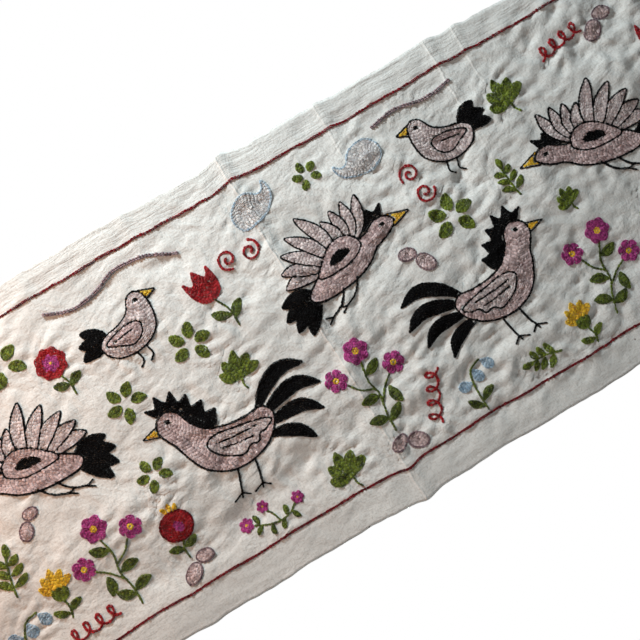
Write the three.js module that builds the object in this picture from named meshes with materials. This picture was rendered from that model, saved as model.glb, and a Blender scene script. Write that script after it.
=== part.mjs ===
// A suzani wall hanging: one panel of natural cotton with turned hems, worked by hand in chain stitch.
// Millimetres, +Z up. The origin is the middle of the top edge, and the worked face looks along -Y.
// The panel hangs by its top edge, with the creases of long folded storage still across it.
import * as THREE from 'three'
import { mergeVertices } from 'three/addons/utils/BufferGeometryUtils.js'

// Driving dimensions
const panelLength = 1500
const panelHeight = 500
const clothThickness = 1.4
const hemWidth = 22
const hemExtraThickness = 0.7
const panelColour = 0xded9cd

// Steps of the sheet: strips between two neighbouring creases, and rows from the top edge to the bottom edge
const stripsBetweenCreases = 7
const rowsDown = 24

// Storage creases, from left to right. atTop and atBottom are where a crease meets the two long edges.
// ridge is how far it stands towards the front, width its half width, and fade how far down it dies out.
// topJog and bottomJog are how far the crease pushes each long edge outwards.
const storageCreases = [
  { atTop: -606, atBottom: -598, ridge: 1.2, width: 9, fade: 260, topJog: 1.5, bottomJog: 1 },
  { atTop: -452, atBottom: -447, ridge: 1.5, width: 8, fade: 180, topJog: 2, bottomJog: 0 },
  { atTop: -301, atBottom: -305, ridge: 1.1, width: 8, fade: 120, topJog: 1, bottomJog: 1.5 },
  { atTop: -152, atBottom: -148, ridge: 1.4, width: 8, fade: 110, topJog: 1.5, bottomJog: 0 },
  { atTop: -8, atBottom: 5, ridge: 3.2, width: 9, fade: 900, topJog: 5, bottomJog: 5 },
  { atTop: 134, atBottom: 142, ridge: 1.8, width: 8, fade: 90, topJog: 3, bottomJog: 0 },
  { atTop: 299, atBottom: 309, ridge: 2, width: 8, fade: 150, topJog: 1.5, bottomJog: 1.5 },
  { atTop: 340, atBottom: 356, ridge: 1.5, width: 7, fade: 100, topJog: 2.5, bottomJog: 0 },
  { atTop: 452, atBottom: 449, ridge: 1.3, width: 8, fade: 200, topJog: 1, bottomJog: 2 },
  { atTop: 601, atBottom: 607, ridge: 1.4, width: 9, fade: 260, topJog: 2, bottomJog: 1 },
]

// Soft folds. along and down are the middle of a fold, length and width its reach each way,
// turn the slope of its long axis in degrees, and rise how far it stands towards the front.
const softFolds = [
  { along: -640, down: 330, length: 120, width: 45, turn: 24, rise: 4.5 },
  { along: -560, down: 140, length: 110, width: 40, turn: -32, rise: -3.5 },
  { along: -455, down: 392, length: 120, width: 34, turn: 8, rise: -4 },
  { along: -400, down: 215, length: 90, width: 42, turn: 40, rise: 4 },
  { along: -300, down: 330, length: 120, width: 40, turn: 10, rise: 5 },
  { along: -265, down: 414, length: 130, width: 24, turn: 5, rise: -5.5 },
  { along: -255, down: 120, length: 80, width: 34, turn: -30, rise: 3 },
  { along: -136, down: 392, length: 85, width: 24, turn: 14, rise: -5 },
  { along: -95, down: 215, length: 75, width: 30, turn: -55, rise: 3 },
  { along: -60, down: 340, length: 70, width: 26, turn: 20, rise: 3.5 },
  { along: 70, down: 150, length: 85, width: 32, turn: -35, rise: -3 },
  { along: 88, down: 405, length: 90, width: 22, turn: 10, rise: -3.5 },
  { along: 120, down: 300, length: 80, width: 30, turn: 42, rise: 3 },
  { along: 205, down: 395, length: 80, width: 20, turn: -4, rise: 3 },
  { along: 262, down: 150, length: 44, width: 20, turn: 60, rise: -4.5 },
  { along: 325, down: 235, length: 70, width: 28, turn: 55, rise: 3.5 },
  { along: 395, down: 375, length: 100, width: 30, turn: -12, rise: -4 },
  { along: 480, down: 170, length: 90, width: 38, turn: 30, rise: 4 },
  { along: 570, down: 320, length: 110, width: 42, turn: -28, rise: -4.5 },
  { along: 660, down: 180, length: 100, width: 45, turn: 20, rise: 3.5 },
]

// Slack between the points that hold the top edge lets the bottom edge swing a little in long waves
const hangingWaves = [
  { wavelength: 610, phase: 0.6, swing: 3.2 },
  { wavelength: 347, phase: 2.1, swing: 1.8 },
]

// Long edges are turned by hand, so they wander a little
const edgeWander = [
  { wavelength: 233, phase: 0.4, sway: 1.1 },
  { wavelength: 97, phase: 1.9, sway: 0.7 },
]

function bell(distance, reach) {
  return Math.exp(-((distance / reach) ** 2))
}

function creaseAt(crease, down) {
  return THREE.MathUtils.lerp(crease.atTop, crease.atBottom, down / panelHeight)
}

// How far the cloth stands towards the front at a point of the panel
function reliefAt(along, down) {
  let relief = 0
  for (const crease of storageCreases) {
    const strength = bell(down, crease.fade)
    relief += crease.ridge * strength * bell(along - creaseAt(crease, down), crease.width)
  }
  for (const fold of softFolds) {
    const turn = THREE.MathUtils.degToRad(fold.turn)
    const right = along - fold.along
    const up = fold.down - down
    const lengthwise = right * Math.cos(turn) + up * Math.sin(turn)
    const across = up * Math.cos(turn) - right * Math.sin(turn)
    relief += fold.rise * bell(lengthwise, fold.length) * bell(across, fold.width)
  }
  for (const wave of hangingWaves) {
    const angle = (2 * Math.PI * along) / wave.wavelength + wave.phase
    relief += wave.swing * (down / panelHeight) * Math.sin(angle)
  }
  return relief
}

// How far a point is pushed out from the middle line by the creases and the uneven edges
function spreadAt(along, down) {
  const towardsTop = 1 - (2 * down) / panelHeight
  let spread = 0
  for (const crease of storageCreases) {
    const jog = towardsTop > 0 ? crease.topJog : crease.bottomJog
    spread += jog * towardsTop * bell(along - creaseAt(crease, down), 1.6 * crease.width)
  }
  for (const wander of edgeWander) {
    const angle = (2 * Math.PI * along) / wander.wavelength + wander.phase
    spread += wander.sway * towardsTop * Math.sin(angle + down / panelHeight)
  }
  return spread
}

// The turned hem makes the cloth double along its edges
function thicknessAt(along, down) {
  const inFromSide = panelLength / 2 - Math.abs(along)
  const inFromLongEdge = Math.min(down, panelHeight - down)
  const inFromEdge = Math.min(inFromSide, inFromLongEdge)
  return clothThickness + (inFromEdge < hemWidth ? hemExtraThickness : 0)
}

// Columns of the sheet follow the creases, so each crease has a column on its ridge and one on either side
function makeColumns() {
  const half = panelLength / 2
  const stops = [{ top: -half, bottom: -half }]
  for (const crease of storageCreases) {
    for (const side of [-crease.width, 0, crease.width]) {
      stops.push({ top: crease.atTop + side, bottom: crease.atBottom + side })
    }
  }
  stops.push({ top: half, bottom: half })
  const columns = []
  for (let i = 0; i < stops.length - 1; i++) {
    const from = stops[i]
    const to = stops[i + 1]
    const narrow = to.top - from.top < 20
    const pieces = narrow ? 1 : stripsBetweenCreases
    for (let piece = 0; piece < pieces; piece++) {
      const share = piece / pieces
      const top = THREE.MathUtils.lerp(from.top, to.top, share)
      const bottom = THREE.MathUtils.lerp(from.bottom, to.bottom, share)
      columns.push({ top, bottom })
    }
  }
  columns.push({ top: half, bottom: half })
  return columns
}

// A flat box of the sheet's columns and rows, moved point by point to the way in which the panel hangs
function makePanelGeometry() {
  const columns = makeColumns()
  const strips = columns.length - 1
  const sheet = new THREE.BoxGeometry(strips, 2, rowsDown, strips, 1, rowsDown)
  sheet.deleteAttribute('normal')
  sheet.deleteAttribute('uv')
  const geometry = mergeVertices(sheet)
  const points = geometry.attributes.position
  for (let i = 0; i < points.count; i++) {
    const column = columns[Math.round(points.getX(i) + strips / 2)]
    const down = (panelHeight * (rowsDown / 2 - points.getZ(i))) / rowsDown
    const along = THREE.MathUtils.lerp(column.top, column.bottom, down / panelHeight)
    const backwards = (points.getY(i) * thicknessAt(along, down)) / 2
    const y = backwards - reliefAt(along, down)
    const z = spreadAt(along, down) - down
    points.setXYZ(i, along, y, z)
  }
  geometry.computeVertexNormals()
  return geometry
}

function makeClothPanel() {
  const cotton = new THREE.MeshStandardMaterial({ color: panelColour, roughness: 0.95, metalness: 0 })
  const panel = new THREE.Mesh(makePanelGeometry(), cotton)
  panel.name = 'cloth_panel'
  return panel
}

const group = new THREE.Group()
group.add(makeClothPanel())

export default group
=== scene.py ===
# A suzani wall hanging: natural cotton, worked by hand in chain stitch, hanging flat by its top edge.
# Lengths in the tables are millimetres. along runs from the middle to the right, down from the top edge.
import math
from functools import partial
import bmesh
import bpy
import numpy as np
from mathutils import Matrix, Vector, kdtree, noise


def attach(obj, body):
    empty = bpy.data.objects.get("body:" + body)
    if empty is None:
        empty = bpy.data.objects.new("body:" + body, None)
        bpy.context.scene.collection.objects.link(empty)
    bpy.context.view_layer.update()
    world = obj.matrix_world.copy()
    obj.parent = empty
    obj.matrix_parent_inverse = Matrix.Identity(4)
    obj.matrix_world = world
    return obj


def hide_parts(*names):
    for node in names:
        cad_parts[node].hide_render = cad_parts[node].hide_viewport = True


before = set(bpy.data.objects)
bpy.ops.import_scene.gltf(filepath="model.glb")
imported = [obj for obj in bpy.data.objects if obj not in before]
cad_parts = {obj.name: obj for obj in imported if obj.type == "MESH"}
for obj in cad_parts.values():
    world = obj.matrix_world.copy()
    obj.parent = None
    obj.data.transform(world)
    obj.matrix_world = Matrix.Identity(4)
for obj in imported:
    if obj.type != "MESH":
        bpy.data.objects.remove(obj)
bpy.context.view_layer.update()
mm = 0.001
chance = np.random.default_rng(7)
print("stage 1: the packed frame is loaded")

# The camera stands a little left of the middle and is rolled, so the level panel rises to the right
view = {"aimDown": 241, "distance": 1126, "fromLeft": 3.9, "roll": 30.3, "lens": 50}


def addObject(name, data):
    made = bpy.data.objects.new(name, data)
    bpy.context.scene.collection.objects.link(made)
    return made


def finishPiece(name, b):
    # turns a bmesh into an object
    mesh = bpy.data.meshes.new(name)
    b.to_mesh(mesh)
    b.free()
    return addObject(name, mesh)


def placeCamera(v):
    turn = math.radians(v["fromLeft"])
    roll = math.radians(v["roll"])
    forward = Vector((math.sin(turn), math.cos(turn), 0))
    levelRight = Vector((math.cos(turn), -math.sin(turn), 0))
    plumb = Vector((0, 0, 1))
    right = levelRight * math.cos(roll) - plumb * math.sin(roll)
    up = levelRight * math.sin(roll) + plumb * math.cos(roll)
    aim = Vector((0, 0, -v["aimDown"])) * mm
    data = bpy.data.cameras.new("camera")
    data.lens = v["lens"]
    camera = addObject("camera", data)
    facing = Matrix((right, up, -forward)).transposed().to_4x4()
    camera.matrix_world = Matrix.Translation(aim - forward * v["distance"] * mm) @ facing
    bpy.context.scene.camera = camera


placeCamera(view)

# The cloth: its size, hem and margins, the cells of its grid, and how unevenly its long edges end
cloth = {
    "length": 1500, "height": 500, "cellsAlong": 372, "cellsDown": 124,
    "thickness": 0.9, "hemWidth": 22, "hemThickness": 1.7, "hemStep": 0.4, "hemSlope": 5,
    "sideMargin": 36, "topMargin": 36, "bottomMargin": 46,
    "jogReach": 1.6, "topFray": 1.6, "bottomFray": 0.8, "frayNoise": (13, 60, 1.9),
}

# Storage creases: where each meets the long edges, how far it stands out, its half width,
# how far down it fades, and how far it pushes the top and bottom edges outwards
creaseColumns = ("atTop", "atBottom", "ridge", "width", "fade", "topJog", "bottomJog")
storageCreases = [dict(zip(creaseColumns, row)) for row in (
    (-606, -598, 1.2, 9, 260, 1.5, 1),
    (-452, -447, 1.5, 8, 180, 2, 0),
    (-301, -305, 1.1, 8, 120, 1, 1.5),
    (-152, -148, 1.4, 8, 110, 1.5, 0),
    (-8, 5, 3.2, 9, 900, 5, 5),
    (134, 142, 1.8, 8, 90, 3, 0),
    (299, 309, 2, 8, 150, 1.5, 1.5),
    (340, 356, 1.5, 7, 100, 2.5, 0),
    (452, 449, 1.3, 8, 200, 1, 2),
    (601, 607, 1.4, 9, 260, 2, 1),
)]

# Soft folds: the middle of each, its reach each way, the slope of its long axis, and its rise
foldColumns = ("along", "down", "length", "width", "turn", "rise")
softFolds = [dict(zip(foldColumns, row)) for row in (
    (-640, 330, 120, 45, 24, 4.5),
    (-560, 140, 110, 40, -32, -3.5),
    (-455, 392, 120, 34, 8, -4),
    (-400, 215, 90, 42, 40, 4),
    (-300, 330, 120, 40, 10, 5),
    (-265, 414, 130, 24, 5, -5.5),
    (-255, 120, 80, 34, -30, 3),
    (-136, 392, 85, 24, 14, -5),
    (-95, 215, 75, 30, -55, 3),
    (-60, 340, 70, 26, 20, 3.5),
    (70, 150, 85, 32, -35, -3),
    (88, 405, 90, 22, 10, -3.5),
    (120, 300, 80, 30, 42, 3),
    (205, 395, 80, 20, -4, 3),
    (262, 150, 44, 20, 60, -4.5),
    (325, 235, 70, 28, 55, 3.5),
    (395, 375, 100, 30, -12, -4),
    (480, 170, 90, 38, 30, 4),
    (570, 320, 110, 42, -28, -4.5),
    (660, 180, 100, 45, 20, 3.5),
)]
hangingWaves = [
    {"wavelength": 610, "phase": 0.6, "swing": 3.2},
    {"wavelength": 347, "phase": 2.1, "swing": 1.8},
]
edgeWander = [
    {"wavelength": 233, "phase": 0.4, "sway": 1.1},
    {"wavelength": 97, "phase": 1.9, "sway": 0.7},
]


def bell(distance, reach):
    return np.exp(-(distance / reach) ** 2)


def turned(right, up, degrees):
    # how far a place to the right and up lies along a direction, and how far across it
    c, s = math.cos(math.radians(degrees)), math.sin(math.radians(degrees))
    return right * c + up * s, up * c - right * s


def creaseAt(crease, down):
    return crease["atTop"] + (crease["atBottom"] - crease["atTop"]) * down / cloth["height"]


def reliefAt(along, down):
    # how far the cloth stands towards the front, from the same tables as the solid
    relief = np.zeros_like(along)
    for crease in storageCreases:
        ridge = crease["ridge"] * bell(down, crease["fade"])
        relief += ridge * bell(along - creaseAt(crease, down), crease["width"])
    for fold in softFolds:
        lengthwise, across = turned(along - fold["along"], fold["down"] - down, fold["turn"])
        relief += fold["rise"] * bell(lengthwise, fold["length"]) * bell(across, fold["width"])
    for wave in hangingWaves:
        swing = wave["swing"] * down / cloth["height"]
        relief += swing * np.sin(2 * math.pi * along / wave["wavelength"] + wave["phase"])
    return relief


def spreadAt(along, down):
    # how far the creases and the uneven edges push a point out from the middle line
    towardsTop = 1 - 2 * down / cloth["height"]
    spread = np.zeros_like(along)
    for crease in storageCreases:
        jog = np.where(towardsTop > 0, crease["topJog"], crease["bottomJog"])
        aside = along - creaseAt(crease, down)
        spread += jog * towardsTop * bell(aside, cloth["jogReach"] * crease["width"])
    for wander in edgeWander:
        angle = 2 * math.pi * along / wander["wavelength"] + wander["phase"]
        spread += wander["sway"] * towardsTop * np.sin(angle + down / cloth["height"])
    return spread


# Drawing the pattern: curves are arrays of x, y in millimetres, y up

def smooth(points, closed=True, steps=8):
    # a Catmull-Rom curve through given points
    p = np.array(points, float)
    before = np.roll(p, 1, 0) if closed else np.vstack((2 * p[0] - p[1], p[:-1]))
    after = np.roll(p, -1, 0) if closed else np.vstack((p[1:], 2 * p[-1] - p[-2]))
    past = np.roll(p, -2, 0) if closed else np.vstack((p[2:], after[-1:], after[-1:]))
    spans = len(p) if closed else len(p) - 1
    t = np.linspace(0, 1, steps, endpoint=False)[:, None]
    parts = []
    for i in range(spans):
        a, b, c, d = before[i], p[i], after[i], past[i]
        curve = (2 * b + (c - a) * t + (2 * a - 5 * b + 4 * c - d) * t ** 2
                 + (3 * b - a - 3 * c + d) * t ** 3)
        parts.append(curve / 2)
    if not closed:
        parts.append(p[-1:])
    return np.vstack(parts)


def bend(*points):
    return smooth(points, closed=False)


def lengthsAlong(curve):
    return np.concatenate(([0], np.cumsum(np.linalg.norm(np.diff(curve, axis=0), axis=1))))


def place(points, at=(0, 0), turn=0, size=1, mirrored=False):
    p = np.array(points, float) * size
    if mirrored:
        p = p * (-1, 1)
    x, y = turned(p[:, 0], p[:, 1], -turn)
    return np.column_stack((x + at[0], y + at[1]))


def oval(length, width, at=(0, 0), turn=0, points=32):
    a = np.linspace(0, 2 * math.pi, points, endpoint=False)
    return place(np.column_stack((np.cos(a) * length / 2, np.sin(a) * width / 2)), at, turn)


def spiral(start, end, turns, at=(0, 0), turn=0, points=40):
    t = np.linspace(0, 1, points)
    radius = start + (end - start) * t
    angle = 2 * math.pi * turns * t
    return place(np.column_stack((radius * np.cos(angle), radius * np.sin(angle))), at, turn)


def plume(spine, width, blunt=0.5):
    # a leaf, petal or feather round a bent spine; blunt moves its widest place towards the tip
    p = smooth(spine, closed=False, steps=7)
    run = lengthsAlong(p)
    t = run / run[-1]
    half = width / 2 * np.sin(math.pi * t ** (0.55 + 0.9 * blunt)) ** 0.8
    ahead = np.gradient(p, axis=0)
    side = np.column_stack((-ahead[:, 1], ahead[:, 0])) / np.linalg.norm(ahead, axis=1)[:, None]
    return np.vstack((p + side * half[:, None], (p - side * half[:, None])[-2:0:-1]))


def leafShape(length, width, at=(0, 0), turn=0, blunt=0.5, bow=0.08):
    # a slightly bent leaf from its root at the origin to its tip along x
    return place(plume([(0, 0), (length / 2, bow * length), (length, 0)], width, blunt), at, turn)


def fill(thread, outline, inset=0):
    outline = np.array(outline, float)
    return {"thread": thread, "kind": "fill", "curve": outline, "closed": True, "inset": inset}


def line(thread, curve, closed=False, width=3.3):
    curve = np.array(curve, float)
    return {"thread": thread, "kind": "line", "curve": curve, "closed": closed, "width": width}


def edged(filling, outline, width=3.3, edging="outlineBlack"):
    # a filled shape with a worked outline round it
    return [fill(filling, outline, 0.3 * width), line(edging, outline, True, width)]


def inked(*curves, width=2.8):
    # open black lines
    return [line("outlineBlack", curve, width=width) for curve in curves]


def eye(x, y, reach=2.9, apart=1.3):
    # two short stitches, one over the other
    return [line("black", [(x - reach, y + d), (x + reach, y + d)], width=3) for d in (apart, -apart)]


def stems(*curves):
    # green stalks, each through its own points
    return [line("olive", bend(*points), width=3) for points in curves]


def leaves(thread, length, width, places, blunt=0.5):
    # leaves of one size at points of a stem: x, y and the way each one points
    return [fill(thread, leafShape(length, width, (x, y), turn, blunt)) for x, y, turn in places]


def shifted(shapes, at=(0, 0), turn=0, size=1, mirrored=False):
    return [{**s, "curve": place(s["curve"], at, turn, size, mirrored)} for s in shapes]


# The motifs: each function returns its shapes in the order of sewing, round its own middle

def blossom(petal="magenta", count=6, reach=16):
    # a ring of blunt petals round a yellow heart
    outline = leafShape(reach, 0.85 * reach, blunt=0.95, bow=0)
    shapes = [fill(petal, place(outline, turn=360 / count * k)) for k in range(count)]
    return shapes + [fill("yellow", oval(0.55 * reach, 0.55 * reach))]


def flowerSpray():
    # a bending stem with three blossoms and paired leaves
    shapes = stems([(6, -66), (3, -42), (-4, -18), (-2, 6), (-9, 30)], [(-2, -28), (-16, -14), (-31, -4)],
                   [(-3, -8), (12, 2), (22, 16)])
    shapes += leaves("olive", 27, 14, (
        (5, -52, 152), (4, -48, 20), (-3, -20, 14), (-20, -16, -98), (-3, 12, 158)))
    return (shapes + shifted(blossom(reach=18), (-11, 44)) + shifted(blossom(), (-42, 4), 20)
            + shifted(blossom(), (31, 28), 10))


def lowSpray():
    # a creeping stem with blossoms at both ends
    shapes = stems([(-58, 6), (-36, -8), (-10, -10), (16, -2), (40, 10)], [(-14, -10), (-8, 8), (2, 22)])
    shapes += leaves("olive", 25, 13, (
        (-44, -4, -122), (-24, -10, -62), (4, -7, -78), (24, 2, -40), (30, 6, 78), (-30, -8, 102)))
    return (shapes + shifted(blossom(), (-68, 14), 12) + shifted(blossom(reach=18), (54, 18), 40)
            + shifted(blossom(reach=15), (6, 34)))


def roundBloom():
    # one open flower of two rings of petals on a short leafy stem
    shapes = stems([(2, -58), (5, -38), (0, -16)])
    shapes += leaves("olive", 28, 15, ((4, -44, 24), (4, -40, 150)))
    shapes += shifted(blossom("red", count=8, reach=27), (0, 4))
    return shapes + shifted(blossom(reach=15), (0, 4), 15)


def palmette(colour="leafGreen", lobes=5, spread=128, length=44, width=17):
    # lobes that fan out of one root
    shapes = [line(colour, bend((3, -40), (-1, -30), (0, -length / 2)))]
    for k in range(lobes):
        aside = k / (lobes - 1) - 0.5
        reach = length * (1 - 0.4 * abs(aside))
        shapes += leaves(colour, reach, width, [(0, -length / 2, 90 + spread * aside)], 0.8)
    return shapes


def sprig(colour="leafGreen"):
    # a short stem with three pairs of leaves and one at its tip
    shapes = [line(colour, bend((0, -36), (2, -8), (-1, 20)))] + leaves(colour, 24, 12, [(-1, 17, 95)])
    for k, y in enumerate((-25, -9, 6)):
        shapes += leaves(colour, 28 - 3 * k, 12, ((1, y, 34), (0, y + 3, 146)))
    return shapes


def ringOfLeaves(thread, radius, turns, length, width, blunt=0.5):
    # leaves that point out from a circle
    places = [(*place([(radius, 0)], turn=turn)[0], turn) for turn in turns]
    return leaves(thread, length, width, places, blunt)


def starLeaf():
    # five short pointed lobes round an open heart
    return ringOfLeaves("leafGreen", 8, (-42, 24, 90, 156, 222), 27, 18, 0.35)


def paisley():
    # a pale bent drop in a light blue outline
    outline = smooth([(-30, -16), (-34, 2), (-26, 17), (-9, 22), (9, 17), (22, 6), (33, 7), (41, 17),
                      (41, 2), (33, -10), (16, -20), (-8, -25)])
    return edged("paleGrey", outline, 3, "paleBlue")


def tulip():
    bloom = smooth([(0, -14), (-15, -8), (-22, 9), (-21, 32), (-11, 19), (0, 37),
                    (11, 19), (21, 32), (22, 9), (15, -8)])
    shapes = stems([(2, -62), (6, -38), (0, -12)])
    return shapes + leaves("olive", 31, 14, ((4, -52, 38), (5, -44, 140))) + [fill("red", bloom)]


def pomegranate():
    # a round red fruit with a bright side and a small crown
    fruit = smooth([(0, -23), (-16, -18), (-25, -2), (-20, 14), (-7, 21),
                    (7, 21), (20, 14), (25, -2), (16, -18)])
    shapes = stems([(3, -52), (5, -36), (0, -22)])
    shapes += leaves("olive", 26, 13, ((4, -38, 20), (4, -34, 156)))
    shapes += leaves("yellow", 16, 8, ((-4, 20, 122), (0, 21, 90), (4, 20, 58)))
    return shapes + edged("red", fruit, 3, "crimson") + [fill("magenta", oval(20, 15, (-2, -2), 60))]


def scrollPair():
    # two spirals that lean on one another
    return [line("red", spiral(2.5, 17, 1.55, at=(-15, 9), turn=60), width=3.8),
            line("red", spiral(2.5, 17, 1.5, at=(16, -9), turn=235), width=3.8)]


def curlyLine(loops=4, reach=78, size=10):
    # a running line that loops over itself
    t = np.linspace(0, 1, loops * 18)
    angle = 2 * math.pi * loops * t
    x = reach * (t - 0.5) + size * 0.8 * np.sin(angle)
    y = size * (0.5 - np.cos(angle))
    return [line("red", np.column_stack((x, y)), width=3.8)]


def carnation():
    # a fan of pointed yellow petals over a green cup
    shapes = stems([(0, -20), (3, -36), (0, -50)])
    for k in (-2, -1, 0, 1, 2):
        shapes += leaves("yellow", 37 - 3 * abs(k), 14, [(0, -6, 90 + 29 * k)], 0.62)
    cup = smooth([(-13, -4), (0, 0), (13, -4), (10, -17), (0, -22), (-10, -17)])
    return shapes + [fill("leafGreen", cup)] + leaves("leafGreen", 27, 12, ((1, -40, 28), (1, -42, 155)))


def podPair():
    return (edged("mauve", oval(34, 24, (-15, -4), 28), 3, "darkMauve")
            + edged("mauve", oval(29, 20, (15, 7), -20), 3, "darkMauve"))


def bluebell():
    # three hanging blue cups on a bowed stem
    shapes = stems([(-8, -44), (-6, -10), (4, 20), (24, 28)])
    shapes += leaves("olive", 30, 13, ((-8, -36, 130), (-7, -28, 22)))
    return shapes + leaves("skyBlue", 24, 18, ((24, 26, -62), (6, 20, -84), (-4, 4, 168)), 0.85)


def rosette():
    # a round flower of wide rings inside a circle of leaves
    shapes = edged("skyBlue", oval(64, 64, points=60), 3.3, "red")
    shapes += edged("paleGrey", oval(27, 27, points=36), 3.3, "red")
    shapes.append(fill("yellow", oval(11, 11)))
    return shapes + ringOfLeaves("olive", 34, range(15, 375, 36), 17, 12)


def beak(corners):
    return [fill("yellow", corners, -0.5), line("outlineBlack", corners, True, 2.2)]


def walkingBird():
    # a long-tailed bird on foot
    body = smooth([(-86, 48), (-81, 62), (-67, 68), (-53, 61), (-43, 43), (-26, 27), (0, 20), (28, 20),
                   (50, 24), (63, 12), (57, -8), (38, -27), (8, -38), (-22, -36), (-48, -21), (-63, 2),
                   (-72, 22), (-81, 35)])
    ruff = [(-80, 65), (-93, 80), (-77, 77), (-73, 94), (-61, 79), (-50, 92), (-46, 73), (-32, 80),
            (-33, 61), (-16, 65), (-20, 47), (-4, 47), (-9, 30), (-16, 20), (-30, 24), (-47, 42),
            (-57, 58), (-68, 63)]
    tail = (((36, 10), (66, 44), (96, 60), (128, 54), 21),
            ((40, 4), (76, 24), (108, 32), (138, 20), 21),
            ((40, -6), (76, 2), (104, 2), (128, -14), 19),
            ((34, -16), (64, -18), (88, -28), (104, -46), 18))
    shapes = [fill("black", plume(spine, width, 0.75)) for *spine, width in tail]
    shapes.append(fill("black", ruff))
    shapes += beak([(-83, 56), (-109, 46), (-80, 39)])
    shapes += edged("mauve", body)
    wing = smooth([(-34, 6), (-18, 14), (12, 12), (36, 10), (58, 4), (46, -6),
                   (36, -8), (31, -18), (18, -17), (8, -25), (-10, -20), (-26, -10)])
    shapes += edged("paleMauve", wing, 3)
    shapes += inked(bend((-22, 3), (4, 2), (36, 3)), bend((-18, -6), (6, -8), (28, -8)))
    for x, lean in ((-10, -8), (16, -4)):
        shapes += inked([(x, -38), (x + lean / 2, -56), (x + lean, -70)], width=3.3)
        shapes += inked(*([(x + lean, -70), (x + lean + toe, -77)] for toe in (-14, -2, 10)))
    return shapes + eye(-69, 55)


def flyingBird():
    # a bird on the wing with a fanned tail
    body = smooth([(-92, 8), (-83, 19), (-67, 22), (-48, 16), (-20, 16), (10, 18), (40, 10), (64, -3),
                   (58, -16), (34, -22), (0, -24), (-28, -19), (-50, -8), (-70, -5), (-85, 0)])
    crest = [(-82, 20), (-91, 36), (-76, 31), (-68, 46), (-59, 30), (-45, 40), (-44, 24), (-28, 29),
             (-33, 16), (-48, 18), (-66, 24)]
    shapes = []
    for k in (-1.5, -0.5, 0.5, 1.5):
        shapes += leaves("black", 66 - 4 * abs(k), 21, [(46, -8, -10 + 19 * k)], 0.75)
    shapes.append(fill("black", crest))
    shapes += beak([(-88, 18), (-116, 3), (-86, -2)])
    shapes += edged("mauve", body)
    for k in range(4):
        shapes += edged("paleMauve", leafShape(70 - 5 * k, 17, (-28 + 4 * k, 12), 128 - 14 * k, 0.7), 2.8)
    for k in range(5):
        shapes += edged("paleMauve", leafShape(58 + 7 * k, 19, (26 - 7 * k, 9), 16 + 16 * k, 0.7), 2.8)
    shoulder = smooth([(-36, 9), (-32, 27), (-14, 36), (6, 32), (24, 21), (38, 8), (16, 1), (-14, -1)])
    shapes += edged("mauve", shoulder, 3)
    shapes.append(fill("black", smooth([(-20, 12), (-10, 22), (6, 21), (16, 12), (2, 8)])))
    for x in (-4, 20):
        shapes += inked(bend((x, -21), (x + 16, -36), (x + 36, -42)), width=3.3)
        shapes += inked(*([(x + 36, -42), (x + 46, -42 + rise)] for rise in (5, -5)))
    return shapes + eye(-75, 11)


def nestingBird():
    # a small plump bird that sits, with a raised black tail
    body = smooth([(-46, 30), (-38, 42), (-24, 40), (-12, 24), (8, 16), (30, 14),
                   (44, 4), (38, -16), (16, -28), (-12, -28), (-34, -16), (-44, 4)])
    shapes = leaves("black", 52, 19, ((24, 0, 4), (24, 0, 26), (24, 0, 48)), 0.75)
    shapes += beak([(-42, 40), (-65, 29), (-42, 22)])
    shapes += edged("paleMauve", body, 3)
    wing = smooth([(-20, 4), (-4, 10), (22, 8), (36, 2), (22, -8), (4, -18), (-14, -12)])
    shapes += edged("mauve", wing, 2.8)
    shapes += inked(bend((-6, 0), (10, 0), (24, 0)), width=2.6)
    shapes += inked(*([(x, -28), (x - 3, -44), (x + 7, -50)] for x in (-8, 8)))
    return shapes + eye(-33, 31)


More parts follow.
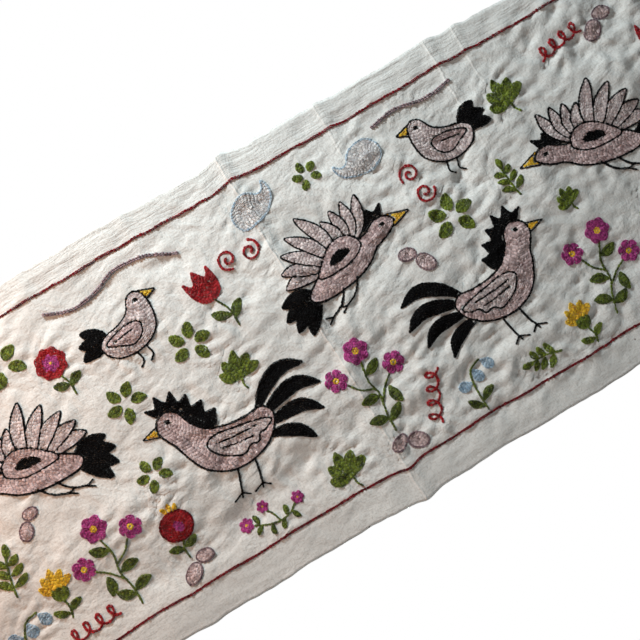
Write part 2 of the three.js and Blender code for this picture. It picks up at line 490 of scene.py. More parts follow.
# Where the motifs stand: each one's place along and down the panel, its turn, its size and, where it has
# a last value, that it is mirrored
layout = (
    (walkingBird, -582, 318, 4, 0.88, True),
    (flyingBird, -400, 226, -8, 0.95),
    (walkingBird, -170, 314, -6, 0.95),
    (flyingBird, 62, 198, 10, 0.95, True),
    (walkingBird, 216, 322, 4, 0.92, True),
    (flyingBird, 428, 228, -12, 0.95),
    (nestingBird, 608, 310, -4, 1.3),
    (nestingBird, -214, 134, 6, 0.9, True),
    (nestingBird, 256, 122, -8, 0.9),
    (paisley, -448, 84, 8, 0.9),
    (paisley, -4, 76, 20, 0.85),
    (paisley, 148, 88, 12, 0.85, True),
    (paisley, -676, 84, 0, 0.85),
    (paisley, 640, 92, 16, 0.9, True),
    (flowerSpray, -366, 368, -6, 1.0),
    (flowerSpray, 12, 342, 6, 1.0, True),
    (flowerSpray, 352, 364, -8, 1.0, True),
    (lowSpray, 612, 422, 0, 0.85),
    (lowSpray, -178, 428, 0, 0.6, True),
    (roundBloom, -316, 122, 8, 0.8),
    (tulip, -104, 140, 12, 0.92),
    (tulip, 566, 150, -10, 1.0, True),
    (tulip, -548, 132, 8, 0.95, True),
    (pomegranate, 506, 394, 6, 0.95),
    (pomegranate, -284, 372, -4, 0.85, True),
    (scrollPair, -48, 118, 20, 0.85),
    (scrollPair, 196, 152, -50, 0.85),
    (scrollPair, -678, 234, 60, 0.75),
    (curlyLine, 80, 398, 66, 0.9),
    (curlyLine, -430, 428, 4, 0.9),
    (curlyLine, 452, 88, 8, 0.85, True),
    (curlyLine, -606, 84, -4, 0.8, True),
    (curlyLine, 660, 216, 66, 0.8),
    (starLeaf, -370, 92, 10, 0.9),
    (starLeaf, -156, 185, -24, 0.85),
    (palmette, 356, 262, 12, 0.6),
    (starLeaf, -276, 303, 14, 0.7),
    (starLeaf, 214, 212, -14, 0.95),
    (starLeaf, 462, 334, 20, 0.95),
    (starLeaf, 78, 74, 8, 0.6),
    (starLeaf, -262, 208, 30, 0.8),
    (palmette, -118, 236, -10, 0.85),
    (palmette, -66, 414, 8, 0.9),
    (palmette, 352, 104, 12, 0.9),
    (palmette, 424, 420, -6, 0.8, True),
    (sprig, 222, 426, 82, 0.75),
    (sprig, 302, 206, 8, 0.75, True),
    (sprig, -486, 316, -12, 0.9, True),
    (carnation, -446, 362, -4, 0.85),
    (carnation, -654, 404, 0, 0.8),
    (carnation, 292, 406, 6, 0.8),
    (podPair, -284, 430, 8, 0.8),
    (podPair, 20, 430, -6, 0.8, True),
    (podPair, 510, 88, 16, 0.85),
    (podPair, 146, 236, -30, 0.8, True),
    (podPair, -436, 276, 30, 0.7),
    (bluebell, -508, 398, -6, 0.9),
    (bluebell, 132, 412, 6, 0.85),
    (rosette, -628, 170, 0, 0.95),
)
trails = (
    [(-296, 62), (-262, 74), (-226, 70), (-190, 58), (-150, 62), (-112, 78)],
    [(180, 62), (220, 56), (262, 64), (300, 60)],
)
trailWidth, borderWidth = 5.4, 3.8

# Turning shapes into rows of chain stitch: the lengths and widths of the stitches, drawn a little coarser
# than real ones to show, then the steps of an outline, how far shapes and rows keep clear of one another,
# and how the gaps between the rows are filled
stitching = {
    "lineStitch": 4.2, "fillStitch": 4.3, "fillRow": 2.25, "fillWidth": 2.7, "closeWidth": 3.1,
    "shortest": 0.45, "fine": 0.9, "coarse": 1.5, "tiny": 1e-6, "lap": 0.7, "under": 0.8, "clear": 0.24,
    "gap": 1.5, "gapStitch": 3.2, "gapGrid": 1.1, "gapInset": 0.4,
}
noStitches = np.zeros((0, 6))


def stepsAlong(curve, closed, step):
    # points at even steps from one end of a curve to the other, and the curve's whole length
    path = np.vstack((curve, curve[:1])) if closed else curve
    run = lengthsAlong(path)
    at = np.linspace(0, run[-1], max(1, round(run[-1] / step)) + 1)
    return np.column_stack([np.interp(at, run, path[:, k]) for k in (0, 1)]), run[-1]


def evenPoints(curve, closed, step):
    points, _ = stepsAlong(curve, closed, step)
    return points[:-1] if closed else points


def rowStitches(curve, closed, length, width):
    # one stitch for each step of the row: middle, direction, length and width
    p, reach = stepsAlong(curve, closed, length)
    if reach < stitching["shortest"] * length:
        return noStitches
    step = np.diff(p, axis=0)
    size = np.maximum(np.linalg.norm(step, axis=1), stitching["tiny"])
    return np.column_stack(((p[1:] + p[:-1]) / 2, step / size[:, None], size, np.full(len(step), width)))


def insideOf(points, outline):
    x, y = points[:, :1], points[:, 1:]
    x1, y1 = outline[:, 0], outline[:, 1]
    x2, y2 = np.roll(x1, -1), np.roll(y1, -1)
    crosses = (y1 > y) != (y2 > y)
    with np.errstate(divide="ignore", invalid="ignore"):
        at = x1 + (y - y1) * (x2 - x1) / (y2 - y1)
    return (np.sum(crosses & (x < at), axis=1) % 2) == 1


def distanceTo(points, others):
    return np.sqrt(((points[:, None, :] - others[None, :, :]) ** 2).sum(2).min(1))


def fillRows(outline, inset):
    # rows that follow the outline inwards, each one row further in
    edge = evenPoints(outline, True, stitching["fine"])
    ahead = np.roll(edge, -1, 0) - np.roll(edge, 1, 0)
    inwards = np.column_stack((-ahead[:, 1], ahead[:, 0]))
    inwards /= np.maximum(np.linalg.norm(inwards, axis=1), stitching["tiny"])[:, None]
    area = np.sum(edge[:, 0] * np.roll(edge[:, 1], -1) - np.roll(edge[:, 0], -1) * edge[:, 1])
    inwards *= np.sign(area)
    rows = []
    depth = inset + stitching["fillRow"] / 2
    while True:
        moved = edge + inwards * depth
        kept = insideOf(moved, edge)
        kept[kept] = distanceTo(moved[kept], edge) > depth - stitching["lap"] * stitching["fillRow"]
        if not kept.any():
            break
        if kept.all():
            rows.append((moved, True))
        else:
            start = int(np.argmin(kept))
            rolled, shown = np.roll(moved, -start, 0), np.roll(kept, -start)
            breaks = np.flatnonzero(np.diff(shown.astype(int)))
            for a, b in zip(breaks[::2], list(breaks[1::2]) + [len(rolled) - 1]):
                if b - a > 2:
                    rows.append((rolled[a + 1:b + 1], False))
        depth += stitching["fillRow"]
    return rows


def gapStitches(outline, inset, rows):
    # single stitches, side by side with the rows, in the gaps that those leave inside a shape
    corners = zip(outline.min(0), outline.max(0))
    across, up = np.meshgrid(*(np.arange(low, high, stitching["gapGrid"]) for low, high in corners))
    spots = np.column_stack((across.ravel(), up.ravel()))
    spots = spots[insideOf(spots, outline)]
    edge = evenPoints(outline, True, stitching["coarse"])
    sewn = np.vstack([curve for curve, _ in rows])
    ahead = np.vstack([np.gradient(curve, axis=0) for curve, _ in rows])
    if not len(spots):
        return noStitches
    spots = spots[distanceTo(spots, edge) > inset + stitching["gapInset"] * stitching["fillRow"]]
    gap = distanceTo(spots, sewn)
    added = []
    while len(gap) and gap.max() > stitching["gap"]:
        spot = spots[np.argmax(gap)]
        along = ahead[np.argmin(np.hypot(*(sewn - spot).T))]
        along = along / max(np.hypot(*along), stitching["tiny"])
        half = along * stitching["gapStitch"] / 2
        added.append((*spot, *along, stitching["gapStitch"], stitching["fillWidth"]))
        gap = np.minimum(gap, distanceTo(spots, spot + np.outer(np.linspace(-1, 1, 5), half)))
    return np.array(added).reshape(-1, 6)


def workShape(shape):
    if shape["kind"] == "line":
        return rowStitches(shape["curve"], shape["closed"], stitching["lineStitch"], shape["width"])
    curves = fillRows(shape["curve"], shape["inset"])
    if not curves:
        return noStitches
    width = stitching["closeWidth" if shape["thread"] == "black" else "fillWidth"]
    rows = [rowStitches(curve, closed, stitching["fillStitch"], width) for curve, closed in curves]
    return np.vstack(rows + [gapStitches(shape["curve"], shape["inset"], curves)])


def workMotif(shapes):
    # later shapes lie over earlier ones, which are left unworked beneath them; lines cross freely
    worked = []
    for shape in shapes:
        rows = workShape(shape)
        edge = evenPoints(shape["curve"], shape["closed"], stitching["coarse"])
        for earlier in worked:
            middles = earlier["rows"][:, :2]
            if not len(middles) or not len(rows):
                continue
            if shape["kind"] == "fill":
                hidden = insideOf(middles, shape["curve"])
                hidden &= distanceTo(middles, edge) > stitching["under"]
            elif earlier["kind"] == "fill":
                reach = (earlier["rows"][:, 5] + shape["width"]) * stitching["clear"]
                hidden = distanceTo(middles, edge) < reach
            else:
                continue
            earlier["rows"] = earlier["rows"][~hidden]
        worked.append({"thread": shape["thread"], "kind": shape["kind"], "rows": rows})
    return worked


stitches = {}
centres = []


def sewMotif(shapes):
    middle = np.vstack([s["curve"] for s in shapes]).mean(0)
    for part in workMotif(shapes):
        tagged = np.column_stack((part["rows"], np.full(len(part["rows"]), len(centres))))
        stitches.setdefault(part["thread"], []).append(tagged)
    centres.append(middle)


for motif, along, down, turn, size, *mirrored in layout:
    sewMotif(shifted(motif(), (along, -down), turn, size, bool(mirrored)))
for trail in trails:
    sewMotif([line("darkMauve", bend(*((x, -y) for x, y in trail)), width=trailWidth)])
side = cloth["length"] / 2 - cloth["sideMargin"]
top, bottom = -cloth["topMargin"], cloth["bottomMargin"] - cloth["height"]
border = [(-side, top), (side, top), (side, bottom), (-side, bottom)]
sewMotif([line("crimson", border, True, borderWidth)])
stitches = {thread: np.vstack(rows) for thread, rows in stitches.items()}
for colour, rows in stitches.items():
    print("  ", colour, len(rows), "stitches")
print("stage 2: the pattern is laid out,", sum(map(len, stitches.values())), "stitches")


# The cloth's front surface, on its own grid of cells. Noise is given by its length, width, seed and turn.
columns = np.linspace(-cloth["length"] / 2, cloth["length"] / 2, cloth["cellsAlong"] + 1)
rowsDown = np.linspace(0, cloth["height"], cloth["cellsDown"] + 1)
gridAlong, gridDown = np.meshgrid(columns, rowsDown)


def noiseField(length, width, seed, turn=0, ridged=False):
    # noise on the cloth, stretched along a direction; ridged noise has soft folds with narrow tops
    u, v = turned(gridAlong, gridDown, -turn)
    spots = zip((u / length).ravel(), (v / width).ravel())
    field = np.array([noise.noise(Vector((a, b, seed))) for a, b in spots]).reshape(u.shape)
    return 0.5 - 2 * np.abs(field) if ridged else field


# The embroidery draws the cloth in, so small folds run out from each motif, over a low pad of stitches
puckering = {
    "rise": 2.4, "reach": 19, "clear": 5, "wave": 21, "fewest": 5, "fullRadius": 45, "sharpness": 1.4,
    "turnEach": 1.7, "wander": 2.2, "wanderNoise": (40, 40, 3.1),
    "even": 0.55, "uneven": 0.9, "unevenNoise": (70, 60, 8.4), "limits": (0.1, 1.4),
    "padRise": 0.5, "padReach": 3.5,
}


def puckersAt(p):
    # the rise of the puckers, and how far each place on the cloth is from the nearest stitch
    placed = np.vstack([rows for colour, rows in stitches.items() if colour != "crimson"])
    tree = kdtree.KDTree(len(placed))
    for i, row in enumerate(placed):
        tree.insert((row[0], row[1], 0), i)
    tree.balance()
    found = [tree.find((x, y, 0)) for x, y in zip(gridAlong.ravel(), -gridDown.ravel())]
    distance = np.array([away for _, _, away in found]).reshape(gridAlong.shape)
    owner = placed[[i for _, i, _ in found], 6].astype(int).reshape(gridAlong.shape)
    middle = np.array(centres)[owner]
    dx, dy = gridAlong - middle[..., 0], -gridDown - middle[..., 1]
    radius = np.minimum(np.hypot(dx, dy), p["fullRadius"])
    folds = np.maximum(p["fewest"], np.round(2 * math.pi * radius / p["wave"]))
    wander = owner * p["turnEach"] + p["wander"] * noiseField(*p["wanderNoise"])
    wave = np.cos(np.arctan2(dy, dx) * folds + wander)
    sharp = np.sign(wave) * np.abs(wave) ** p["sharpness"]
    strength = np.clip(distance / p["clear"], 0, 1) * bell(distance, p["reach"])
    uneven = np.clip(p["even"] + p["uneven"] * noiseField(*p["unevenNoise"]), *p["limits"])
    return p["rise"] * strength * sharp * uneven + p["padRise"] * bell(distance, p["padReach"]), distance


# Sharp short creases left by long folded storage, strewn over the middle of the panel
creasing = {
    "count": 300, "lengths": (16, 46), "widths": (3.4, 6.5), "rises": (0.8, 2.4), "turns": (-35, 60),
    "bow": 0.15, "window": 2.2,
}


def creasesAt(c):
    # sharp ridges and troughs, each fading out towards its ends
    field = np.zeros_like(gridAlong)
    for _ in range(c["count"]):
        along = chance.uniform(columns[0], columns[-1])
        down = chance.uniform(cloth["topMargin"], cloth["height"] - cloth["bottomMargin"])
        turn = chance.uniform(*c["turns"])
        length, width = chance.uniform(*c["lengths"]), chance.uniform(*c["widths"])
        rise = chance.uniform(*c["rises"]) * chance.choice((-1, 1))
        near = np.abs(columns - along) < c["window"] * length
        close = np.abs(rowsDown - down) < c["window"] * length
        window = np.ix_(close, near)
        lengthwise, across = turned(gridAlong[window] - along, down - gridDown[window], turn)
        across = across + c["bow"] * lengthwise ** 2 / length * chance.choice((-1, 1))
        field[window] += rise * bell(lengthwise, length) / (1 + (across / width) ** 2)
    return field


# Folds, wrinkles and dimples of a cloth that was folded away: each has layers of a share and a noise, and
# the sum of its layers is divided by total
rippling = (
    {"rise": 4.6, "total": 2, "ridged": True,
     "layers": ((1, 95, 26, 1.3, 14), (0.8, 80, 24, 5.7, -32), (0.8, 70, 34, 9.2, 62))},
    {"rise": 3.6, "total": 1.8, "ridged": True,
     "layers": ((1, 44, 14, 2.9, 6), (0.8, 38, 13, 7.3, 34), (0.6, 34, 13, 3.6, -44))},
    {"rise": 0.9, "total": 1, "ridged": False, "layers": ((1, 15, 12, 4.4, 20),)},
)
# The ripples are calmer in the margins, among the stitches and towards the left, and livelier in patches
calming = {
    "margin": 0.75, "marginReach": 0.8, "stitches": 0.5, "stitchReach": 10,
    "left": 0.45, "leftFrom": -180, "leftBlend": 80,
    "middle": 0.8, "patches": 1.1, "patchNoise": (210, 130, 6.2), "limits": (0.25, 1.5),
}
# Low ridges along both margins
marginRidges = {
    "rise": 0.5, "wave": 13, "wander": 3, "wanderNoise": (120, 30, 6.6),
    "even": 0.6, "unevenNoise": (90, 20, 2.5),
}


def crumplesAt(distance, c, m):
    crumples = np.zeros_like(gridAlong)
    for size in rippling:
        layers = [share * noiseField(*layer, ridged=size["ridged"]) for share, *layer in size["layers"]]
        crumples += size["rise"] * (sum(layers) / size["total"])
    free = 1 - c["stitches"] + c["stitches"] * np.clip(distance / c["stitchReach"], 0, 1)
    inMargin = np.maximum(bell(gridDown, cloth["topMargin"] * c["marginReach"]),
                          bell(cloth["height"] - gridDown, cloth["bottomMargin"] * c["marginReach"]))
    towardsLeft = 1 / (1 + np.exp((gridAlong - c["leftFrom"]) / c["leftBlend"]))
    lively = np.clip(c["middle"] + c["patches"] * noiseField(*c["patchNoise"]), *c["limits"])
    lively *= 1 - c["left"] * towardsLeft
    calm = (1 - c["margin"] * inMargin) * free * lively
    ridges = np.sin(2 * math.pi * gridDown / m["wave"] + m["wander"] * noiseField(*m["wanderNoise"]))
    ridges *= m["rise"] * inMargin * (m["even"] + noiseField(*m["unevenNoise"]))
    return calm * (crumples + creasesAt(creasing)) + ridges


def inFromEdge(along, down):
    return np.minimum(cloth["length"] / 2 - np.abs(along), np.minimum(down, cloth["height"] - down))


puckers, distanceOut = puckersAt(puckering)
relief = reliefAt(gridAlong, gridDown) + puckers + crumplesAt(distanceOut, calming, marginRidges)
inHem = (cloth["hemWidth"] - inFromEdge(gridAlong, gridDown)) / cloth["hemSlope"]
relief += cloth["hemStep"] * np.clip(inHem, 0, 1)
towardsTop = 1 - 2 * gridDown / cloth["height"]
fray = np.where(towardsTop > 0, cloth["topFray"], cloth["bottomFray"]) * towardsTop ** 3
spread = spreadAt(gridAlong, gridDown) + fray * noiseField(*cloth["frayNoise"])
front = np.dstack((gridAlong, -relief, spread - gridDown)) * mm
normals = np.cross(np.gradient(front, axis=0), np.gradient(front, axis=1))
normals /= np.linalg.norm(normals, axis=2)[..., None]
print("stage 3: the cloth is shaped")


def surfaceAt(x, y):
    # the place and normal of the cloth's front at points of the pattern
    u = np.clip((x - columns[0]) / (columns[1] - columns[0]), 0, cloth["cellsAlong"] - 1e-6)
    v = np.clip(-y / (rowsDown[1] - rowsDown[0]), 0, cloth["cellsDown"] - 1e-6)
    i, j = v.astype(int), u.astype(int)
    fu, fv = (u - j)[:, None], (v - i)[:, None]
    mixed = []
    for field in (front, normals):
        upper = field[i, j] * (1 - fu) + field[i, j + 1] * fu
        lower = field[i + 1, j] * (1 - fu) + field[i + 1, j + 1] * fu
        mixed.append(upper * (1 - fv) + lower * fv)
    return mixed[0], mixed[1] / np.linalg.norm(mixed[1], axis=1)[:, None]


def makeCloth():
    b = bmesh.new()
    bmesh.ops.create_grid(b, x_segments=cloth["cellsAlong"], y_segments=cloth["cellsDown"], size=0.5,
                          calc_uvs=True)
    flat = b.loops.layers.uv.new("flatCloth")
    size = (cloth["length"] * mm, cloth["height"] * mm)
    for face in b.faces:
        face.smooth = True
        for loop in face.loops:
            loop[flat].uv = (loop.vert.co.x * size[0], loop.vert.co.y * size[1])
    for vert in b.verts:
        column = round((vert.co.x + 0.5) * cloth["cellsAlong"])
        row = round((0.5 - vert.co.y) * cloth["cellsDown"])
        vert.co = Vector(front[row, column])
    piece = finishPiece("embroidered_cloth", b)
    coords = np.array([vert.co for vert in piece.data.vertices]) / mm
    inHem = inFromEdge(coords[:, 0], -coords[:, 2]) < cloth["hemWidth"]
    hem = piece.vertex_groups.new(name="hem")
    for chosen, share in ((inHem, 1.0), (~inHem, cloth["thickness"] / cloth["hemThickness"])):
        hem.add(np.flatnonzero(chosen).tolist(), share, "REPLACE")
    wall = piece.modifiers.new("cloth thickness", "SOLIDIFY")
    wall.thickness = cloth["hemThickness"] * mm
    wall.offset = -1
    wall.vertex_group = "hem"
    return piece


# The worked thread. loop is one chain stitch on the front and back is one stitch of its reverse, both as
# shares of a stitch's length and width, and the sizes of a back stitch are millimetres. The uneven values
# are how much neighbouring stitches differ.
threadWork = {
    "loop": {"strands": (-1, 1), "rings": 3, "length": 1.34, "bow": 0.34, "girth": 0.31},
    "back": {"strands": (0,), "rings": 2, "length": 0.92, "bow": 0, "girth": 0.45},
    "height": 0.5, "backWidth": 1.5, "backHeight": 0.8, "backLift": 0.4,
    "unevenLength": 0.07, "unevenWidth": 0.09, "unevenTurn": 4.0, "unevenTilt": 12.0,
}


def stitchTemplate(shape):
    # strands that part from a point and meet again, lying on z = 0
    b = bmesh.new()
    for side in shape["strands"]:
        made = bmesh.ops.create_uvsphere(b, u_segments=3, v_segments=shape["rings"], radius=0.5)["verts"]
        for vert in made:
            x, y, z = vert.co.z, vert.co.y, vert.co.x
            y = 2 * shape["girth"] * y + side * shape["bow"] * math.cos(math.pi * x)
            vert.co = (x * shape["length"], y, z + 0.5)
    bmesh.ops.recalc_face_normals(b, faces=b.faces)
    bmesh.ops.triangulate(b, faces=b.faces)
    points = np.array([v.co for v in b.verts])
    faces = np.array([[v.index for v in f.verts] for f in b.faces])
    b.free()
    return points, faces


chainLoop = stitchTemplate(threadWork["loop"])
backStitch = stitchTemplate(threadWork["back"])


def copiesOf(template, at, axes, sizes):
    # copies of a template: axes and sizes are along, across and out for every copy
    points = template[0]
    placed = at[:, None]
    for k, (axis, size) in enumerate(zip(axes, sizes)):
        placed = placed + axis[:, None] * (points[None, :, k:k + 1] * size[:, None, None])
    return placed


def meshOfCopies(name, parts):
    # joins copies: each part is (points of every copy, faces of one copy, shade of every copy)
    allPoints, allFaces, allShades = [], [], []
    base = 0
    for points, faces, shades in parts:
        copies, count = points.shape[0], points.shape[1]
        allPoints.append(points.reshape(-1, 3))
        allFaces.append((faces[None] + base + np.arange(copies)[:, None, None] * count).reshape(-1, 3))
        allShades.append(np.repeat(shades, count))
        base += copies * count
    mesh = bpy.data.meshes.new(name)
    mesh.from_pydata(np.vstack(allPoints), [], np.vstack(allFaces))
    mesh.shade_smooth()
    shade = mesh.attributes.new("shade", "FLOAT", "POINT")
    shade.data.foreach_set("value", np.concatenate(allShades))
    return addObject(name, mesh)


def uneven(count, amount):
    return chance.normal(0, amount, count).clip(-2 * amount, 2 * amount)


def makeEmbroidery(name, rows):
    count = len(rows)
    turn = np.radians(uneven(count, threadWork["unevenTurn"]))
    tilt = np.radians(uneven(count, threadWork["unevenTilt"]))[:, None]
    dx = rows[:, 2] * np.cos(turn) - rows[:, 3] * np.sin(turn)
    dy = rows[:, 2] * np.sin(turn) + rows[:, 3] * np.cos(turn)
    at, out = surfaceAt(rows[:, 0], rows[:, 1])
    ahead, _ = surfaceAt(rows[:, 0] + dx / 2, rows[:, 1] + dy / 2)
    behind, _ = surfaceAt(rows[:, 0] - dx / 2, rows[:, 1] - dy / 2)
    along = ahead - behind
    along -= out * (along * out).sum(1)[:, None]
    along /= np.linalg.norm(along, axis=1)[:, None]
    across = np.cross(out, along)
    c, s = np.cos(tilt), np.sin(tilt)
    tilted = (along, across * c + out * s, out * c - across * s)
    length = rows[:, 4] * mm * (1 + uneven(count, threadWork["unevenLength"]))
    width = rows[:, 5] * mm * (1 + uneven(count, threadWork["unevenWidth"]))
    # each stitch's place between its thread's painted shade and painted highlight
    shades = chance.random(count)
    worked = copiesOf(chainLoop, at, tilted, (length, width, width * threadWork["height"]))
    reverseAt = at - out * (cloth["thickness"] + threadWork["backLift"]) * mm
    thin = np.full(count, mm)
    reverse = copiesOf(backStitch, reverseAt, (along, across, -out),
                       (length, thin * threadWork["backWidth"], thin * threadWork["backHeight"]))
    return meshOfCopies(name, [(worked, chainLoop[1], shades), (reverse, backStitch[1][:, ::-1], shades)])


# Materials

def linearColour(hexColour):
    # sRGB hex to linear light
    parts = [int(hexColour[i:i + 2], 16) / 255 for i in (0, 2, 4)]
    return tuple(p / 12.92 if p <= 0.04045 else ((p + 0.055) / 1.055) ** 2.4 for p in parts) + (1.0,)


def addNode(tree, kind, sockets=None, **settings):
    # adds a node with its settings, then sets or links its sockets. A node among the sockets is linked by
    # the first output that it shows, and text is an sRGB hex colour.
    node = tree.nodes.new("ShaderNode" + kind)
    for name, value in settings.items():
        setattr(node, name, value)
    for socket, value in (sockets or {}).items():
        if isinstance(value, bpy.types.Node):
            value = next(output for output in value.outputs if output.enabled)
        if isinstance(value, bpy.types.NodeSocket):
            tree.links.new(value, node.inputs[socket])
        else:
            node.inputs[socket].default_value = linearColour(value) if isinstance(value, str) else value
    return node


def newMaterial(name):
    material = bpy.data.materials.new(name)
    material.use_nodes = True
    material.node_tree.nodes.clear()
    return material, partial(addNode, material.node_tree)


cottonLook = {
    "light": "EFF2F0", "grey": "DADCDA", "warm": "DAD4C9", "dim": "C2C3C0", "speck": "5E4E40",
    "creasePale": "F6F6F2", "roughness": 0.92, "specular": 0.2, "sheen": 0.15, "sheenRoughness": 0.6,
    "greyRange": (0.35, 0.7, 1.0), "warmRange": (0.5, 0.8, 0.45), "dimRange": (0.5, 0.7, 0.6),
    "seedSpacing": 38, "seedSize": 1.4, "seedCore": 0.7, "seedShade": 0.8, "seedShare": 0.1,
    "pressedFrom": 1.5, "pressedWidth": 2.4, "pressedDepth": 0.27, "pressedWander": 7,
    "pressedPaling": 0.14, "pressedFade": (1.3, 0.5),
    "margin": (48, 34), "marginCalm": 0.5, "patchRange": (0.42, 0.6),
    "weaveDepth": 0.42, "crinkleDepth": 0.42, "wrinkleDepth": 0.8, "streakDepth": 1.2, "drawnDepth": 1.1,
}
# Noise in the cloth: the length and width of its features in millimetres, its detail, distortion and turn
cottonNoise = {
    "mottle": (110, 110, 5.0, 0.0, 0),
    "slub": (5.5, 1.8, 3.0, 0.0, 0),
    "warp": (1.8, 5.5, 3.0, 0.0, 0),
    "wander": (33, 33, 3.0, 0.0, 0),
    "streak": (48, 6, 3.0, 0.9, 0),
    "crinkle": (3.5, 3.5, 3.0, 0.5, 0),
    "wrinkle": (11, 11, 4.0, 0.8, 0),
    "drawnUp": (30, 8, 0.6, 0.5, 22),
    "drawnDown": (30, 8, 0.6, 0.6, -34),
    "patchUp": (90, 70, 1.0, 0.0, 22),
    "patchDown": (90, 70, 1.0, 0.0, -34),
}


def makeCottonCloth(look):
    # Plain-woven unbleached cotton, washed and pressed in folds: matt, off-white, with warm and dim
    # threads, a few dark specks of seed and paler lines along the storage creases. Its real threads are
    # 0.5 mm apart, and are drawn 1.8 mm apart to show.
    material, add = newMaterial("woven unbleached cotton")
    uv = add("UVMap", uv_map="flatCloth")
    spot = add("SeparateXYZ", {"Vector": uv})
    grain = {}
    for name, (length, width, detail, distortion, turn) in cottonNoise.items():
        stretched = add("Mapping", {
            "Vector": uv, "Scale": (length * mm, width * mm, 1), "Rotation": (0, 0, math.radians(turn))},
            vector_type="TEXTURE")
        grain[name] = add("TexNoise", {
            "Vector": stretched, "Scale": 1.0, "Detail": detail, "Distortion": distortion})

    # each tone shows over the ones before it where its noise is high
    woven = add("Math", {0: grain["slub"], 1: grain["warp"]}, operation="MAXIMUM")
    colour = look["light"]
    for tone, pattern in (("grey", grain["mottle"]), ("warm", grain["slub"]), ("dim", woven)):
        low, high, most = look[tone + "Range"]
        share = add("MapRange", {"Value": pattern, "From Min": low, "From Max": high, "To Max": most})
        colour = add("Mix", {"Factor": share, "A": colour, "B": look[tone]}, data_type="RGBA")
    seeds = add("TexVoronoi", {"Vector": uv, "Scale": 1000 / look["seedSpacing"]})
    edge = look["seedSize"] / look["seedSpacing"]
    speck = add("MapRange", {"Value": seeds, "From Min": look["seedCore"] * edge, "From Max": edge,
                             "To Min": look["seedShade"], "To Max": 0.0})
    pick = add("SeparateColor", {"Color": seeds.outputs["Color"]})
    picked = add("Math", {0: pick, 1: 1 - look["seedShare"]}, operation="GREATER_THAN")
    share = add("Math", {0: speck, 1: picked}, operation="MULTIPLY")
    colour = add("Mix", {"Factor": share, "A": colour, "B": look["speck"]}, data_type="RGBA")

    # the sharp lines of the storage creases: the way to each line, then 1 on it and 0 beside it
    wander = add("Math", {0: grain["wander"], 1: look["pressedWander"] * mm}, operation="MULTIPLY")
    relief = [(add("Math", {0: grain["slub"], 1: grain["warp"]}), look["weaveDepth"], 1.0)]
    for crease in storageCreases:
        if crease["ridge"] < look["pressedFrom"]:
            continue
        lean = (crease["atBottom"] - crease["atTop"]) / cloth["height"]
        middle = (crease["atTop"] + crease["atBottom"]) / 2 * mm
        aside = spot.outputs["Y"]
        for operation, *others in (("MULTIPLY_ADD", lean, spot.outputs["X"]), ("ADD", wander),
                                   ("SUBTRACT", middle), ("ABSOLUTE",)):
            aside = add("Math", dict(enumerate((aside, *others))), operation=operation)
        sharp = add("MapRange", {"Value": aside, "From Max": look["pressedWidth"] * mm,
                                 "To Min": 1.0, "To Max": 0.0})
        # a crease that dies out down the panel is gone a little past its fade
        gone, whole = (cloth["height"] / 2 - crease["fade"] * reach for reach in look["pressedFade"])
        lasting = add("MapRange", {"Value": spot.outputs["Y"], "From Min": gone * mm,
                                   "From Max": whole * mm})
        shown = add("Math", {0: sharp, 1: lasting}, operation="MULTIPLY")
        relief.append((shown, look["pressedDepth"] * crease["ridge"], 1.0))
        # each storage crease is made paler along its middle line
        creasePale = add("Math", {0: shown, 1: look["pressedPaling"] * crease["ridge"]}, operation="MULTIPLY")
        colour = add("Mix", {"Factor": creasePale, "A": colour, "B": look["creasePale"]}, data_type="RGBA")

    # the margin above the border line is drawn out in fine streaks, and both margins are calmer
    inner, outer = ((cloth["height"] / 2 - reach) * mm for reach in look["margin"])
    top = add("MapRange", {"Value": spot.outputs["Y"], "From Min": inner, "From Max": outer})
    streaked = add("Math", {0: grain["streak"], 1: top}, operation="MULTIPLY")
    fromMiddle = add("Math", {0: spot.outputs["Y"]}, operation="ABSOLUTE")
    calm = add("MapRange", {"Value": fromMiddle, "From Min": inner, "From Max": outer,
                            "To Min": 1.0, "To Max": look["marginCalm"]})
    relief += [(streaked, look["streakDepth"], 1.0), (grain["crinkle"], look["crinkleDepth"], calm),
               (grain["wrinkle"], look["wrinkleDepth"], calm)]
    low, high = look["patchRange"]
    for way in ("Up", "Down"):
        patch = add("MapRange", {"Value": grain["patch" + way], "From Min": low, "From Max": high})
        strength = add("Math", {0: calm, 1: patch}, operation="MULTIPLY")
        relief.append((grain["drawn" + way], look["drawnDepth"], strength))
    normal = {}
    for height, depth, strength in relief:
        bump = add("Bump", {"Height": height, "Distance": depth * mm, "Strength": strength, **normal})
        normal = {"Normal": bump}
    shader = add("BsdfPrincipled", {
        "Base Color": colour, "Roughness": look["roughness"], "Specular IOR Level": look["specular"],
        "Sheen Weight": look["sheen"], "Sheen Roughness": look["sheenRoughness"], **normal})
    add("OutputMaterial", {"Surface": shader})
    return material


# Each thread's colour from the darkest turn of a strand to the lightest, the dark end a painted shade and
# the light end a painted highlight of its dye, and how much satin gloss shows on each
dyesLitAndShaded = {
    "black": ("030304", "09090C", 0.14),
    "outlineBlack": ("030304", "09090C", 0.14),
    "mauve": ("927373", "F8E4E4", 1.0),
    "paleMauve": ("A69091", "F8EEED", 1.0),
    "darkMauve": ("64505A", "9C8187", 1.0),
    "olive": ("1E2B06", "6F8228", 0.6),
    "leafGreen": ("213006", "83972E", 0.6),
    "magenta": ("7C0E58", "D052A4", 0.6),
    "red": ("740610", "BE1C28", 0.5),
    "crimson": ("4C0008", "8C0A1A", 0.3),
    "yellow": ("CC9408", "FFDA3C", 0.7),
    "paleGrey": ("C2C1C4", "F6F5F4", 1.0),
    "paleBlue": ("98B0C4", "D4E5F0", 0.8),
    "skyBlue": ("7C9EB8", "BCD6E8", 0.8),
}
threadLook = {
    "roughness": 0.36, "dulling": 0.25, "gloss": 0.6, "sheen": 0.2, "sheenRoughness": 0.4,
    "dyeing": 17, "toneRange": (0.3, 1.5), "strand": 0.6, "strandDepth": 0.3,
}


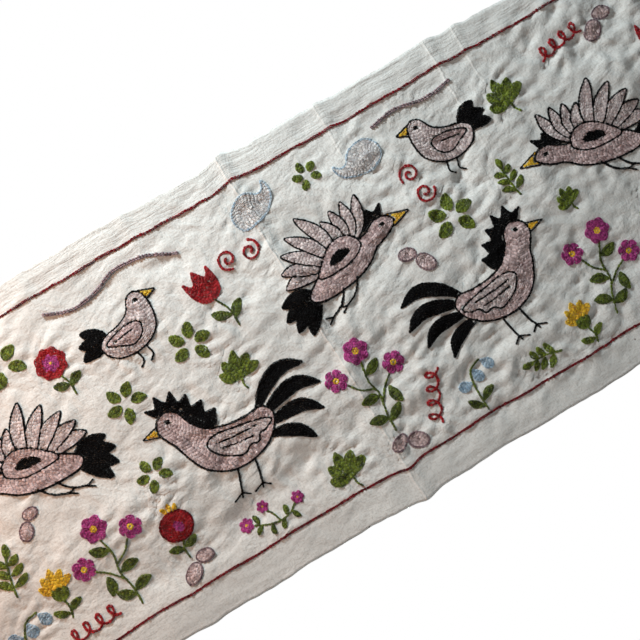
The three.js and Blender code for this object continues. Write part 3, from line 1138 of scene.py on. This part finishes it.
def makeThread(name, dyeLitAndShaded, look):
    # Stranded embroidery thread, dyed and worked in chain stitch, with a soft satin gloss along the
    # strands. Its colour is painted shade and painted highlight: each stitch gets its own mix of the two,
    # so neighbouring stitches differ a little in tone as if each took the light its own way.
    # A real strand is about 0.3 mm thick, and is drawn at 0.6 mm to show.
    dark, light, satin = dyeLitAndShaded
    material, add = newMaterial("stranded thread " + name)
    shade = add("Attribute", attribute_name="shade", attribute_type="GEOMETRY").outputs["Fac"]
    coords = add("TexCoord").outputs["Object"]
    dyed, strands = (add("TexNoise", {"Vector": coords, "Scale": 1000 / look[size], "Detail": 2.0})
                     for size in ("dyeing", "strand"))
    tone = add("Math", {0: shade, 1: dyed})
    low, high = look["toneRange"]
    share = add("MapRange", {"Value": tone, "From Min": low, "From Max": high})
    # painted shade and painted highlight: each stitch's tone picks its colour between the shaded and the
    # lit turn of its thread
    colour = add("Mix", {"Factor": share, "A": dark, "B": light}, data_type="RGBA")
    shader = add("BsdfPrincipled", {
        "Base Color": colour, "Roughness": look["roughness"] + look["dulling"] * (1 - satin),
        "Specular IOR Level": look["gloss"] * satin, "Sheen Weight": look["sheen"] * satin,
        "Sheen Roughness": look["sheenRoughness"],
        "Normal": add("Bump", {"Height": strands, "Distance": look["strandDepth"] * mm})})
    add("OutputMaterial", {"Surface": shader})
    return material


# The pieces, each riding on the one body
clothPiece = makeCloth()
clothPiece.data.materials.append(makeCottonCloth(cottonLook))
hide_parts("cloth_panel")
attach(clothPiece, "root")
for colour in sorted(stitches):
    piece = makeEmbroidery("embroidery_" + colour, stitches[colour])
    piece.data.materials.append(makeThread(colour, dyesLitAndShaded[colour], threadLook))
    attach(piece, "root")
    print("  ", piece.name, len(piece.data.polygons), "triangles")


# Floor, light and air. The key light grazes the cloth from above, so that its folds show.
studio = {
    "floorLength": 3200, "floorDepth": 1800, "floorDown": 1500, "floorForward": 400,
    "floorColour": "F7F6F4", "floorRoughness": 0.9, "floorGlow": 0.2, "air": 0.105, "airColour": "FBF4EE",
}
lampColumns = ("name", "at", "aim", "size", "power", "colour")
lamps = [dict(zip(lampColumns, row)) for row in (
    ("key light", (-330, -520, 880), (0, 0, -160), 290, 19.4, "EFF9FB"),
    ("warm light", (-860, -430, 60), (-460, 0, -150), 450, 3.2, "FFB98A"),
    ("back light", (500, 1500, 600), (0, 0, -250), 900, 27, "FFFFFF"),
)]


def makeFloor(s):
    b = bmesh.new()
    bmesh.ops.create_grid(b, x_segments=1, y_segments=1, size=0.5)
    bmesh.ops.scale(b, vec=(s["floorLength"] * mm, s["floorDepth"] * mm, 1), verts=b.verts)
    bmesh.ops.translate(b, vec=(0, -s["floorForward"] * mm, -s["floorDown"] * mm), verts=b.verts)
    floor = finishPiece("studio_floor", b)
    material, add = newMaterial("pale matt studio floor")
    paint = add("BsdfPrincipled", {
        "Base Color": s["floorColour"], "Roughness": s["floorRoughness"],
        "Emission Color": s["floorColour"], "Emission Strength": s["floorGlow"]})
    add("OutputMaterial", {"Surface": paint})
    floor.data.materials.append(material)


def addLamp(lamp):
    data = bpy.data.lights.new(lamp["name"], "AREA")
    data.shape = "DISK"
    data.size = lamp["size"] * mm
    data.energy = lamp["power"]
    data.color = linearColour(lamp["colour"])[:3]
    made = addObject(lamp["name"], data)
    made.location = Vector(lamp["at"]) * mm
    made.rotation_euler = (Vector(lamp["aim"]) - Vector(lamp["at"])).to_track_quat("-Z", "Y").to_euler()


def makeAir(s):
    # an even pale studio all round, plain white where the camera sees it
    world = bpy.data.worlds.new("studio air")
    world.use_nodes = True
    world.node_tree.nodes.clear()
    add = partial(addNode, world.node_tree)
    air = add("Background", {"Color": s["airColour"], "Strength": s["air"]})
    backdrop = add("Background", {"Color": "FFFFFF", "Strength": 1.0})
    both = add("MixShader", {"Fac": add("LightPath"), 1: air, 2: backdrop})
    add("OutputWorld", {"Surface": both})
    bpy.context.scene.world = world


makeFloor(studio)
for lamp in lamps:
    addLamp(lamp)
makeAir(studio)
bpy.context.scene.view_settings.view_transform = "Standard"
print("stage 5: light and floor are set")
